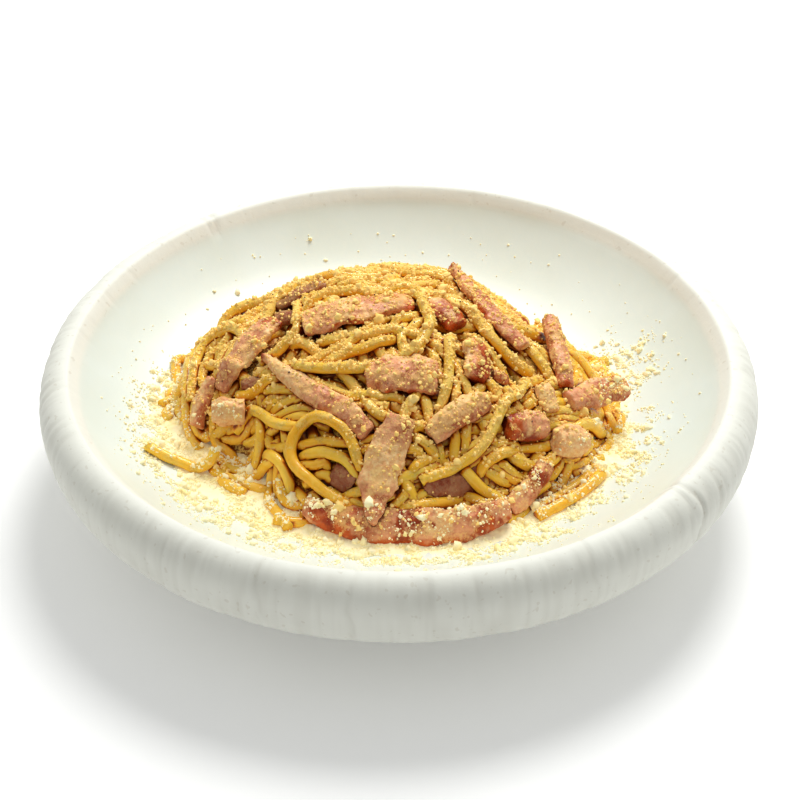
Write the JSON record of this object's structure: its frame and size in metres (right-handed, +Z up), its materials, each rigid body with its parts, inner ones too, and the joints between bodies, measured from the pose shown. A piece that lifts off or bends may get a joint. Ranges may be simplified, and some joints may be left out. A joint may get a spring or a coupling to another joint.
{
  "type": "pasta carbonara in a bowl",
  "caption": "Spaghetti carbonara with strips of fried bacon and grated cheese, heaped in a heavy white stoneware pasta bowl that stands on a foot ring.",
  "frame": {"origin": "centre of the bowl's foot, on the surface it stands on", "axes": "+Z up along the bowl's axis; -Y towards the side the dish is served from, with the long bacon strip at the front; +X to the right"},
  "size_m": [0.24, 0.24, 0.0727],
  "materials": {
    "stoneware": "glossy white glaze inside, satin unglazed-looking grooved rim and outside",
    "pasta": "moist, coated in creamy egg sauce",
    "cheese": "dry, finely grated",
    "bacon": "fried, pink lean with pale fat and red-brown crisp ends, slightly greasy"
  },
  "bodies": {
    "root": {"bowl": "stoneware", "pasta": "pasta", "grated_cheese": "cheese", "bacon_back_left": "bacon", "bacon_back_middle": "bacon", "bacon_back_right": "bacon", "bacon_under_strands": "bacon", "bacon_left_hollow": "bacon", "bacon_left_pocket": "bacon", "bacon_behind_loop": "bacon", "bacon_front_recess": "bacon", "bacon_left_long": "bacon", "bacon_left_edge": "bacon", "bacon_left_chunk": "bacon", "bacon_fatty_long": "bacon", "bacon_wide_top": "bacon", "bacon_wide_middle": "bacon", "bacon_crisp_top": "bacon", "bacon_crisp_upright": "bacon", "bacon_small_bit": "bacon", "bacon_raised_strip": "bacon", "bacon_orange_lump": "bacon", "bacon_right_upright": "bacon", "bacon_cheesy": "bacon", "bacon_right_foot": "bacon", "bacon_orange_chunk": "bacon", "bacon_crisp_chunk": "bacon", "bacon_overhang": "bacon", "bacon_front_strip": "bacon", "bacon_hanging": "bacon"}
  },
  "joints": []
}
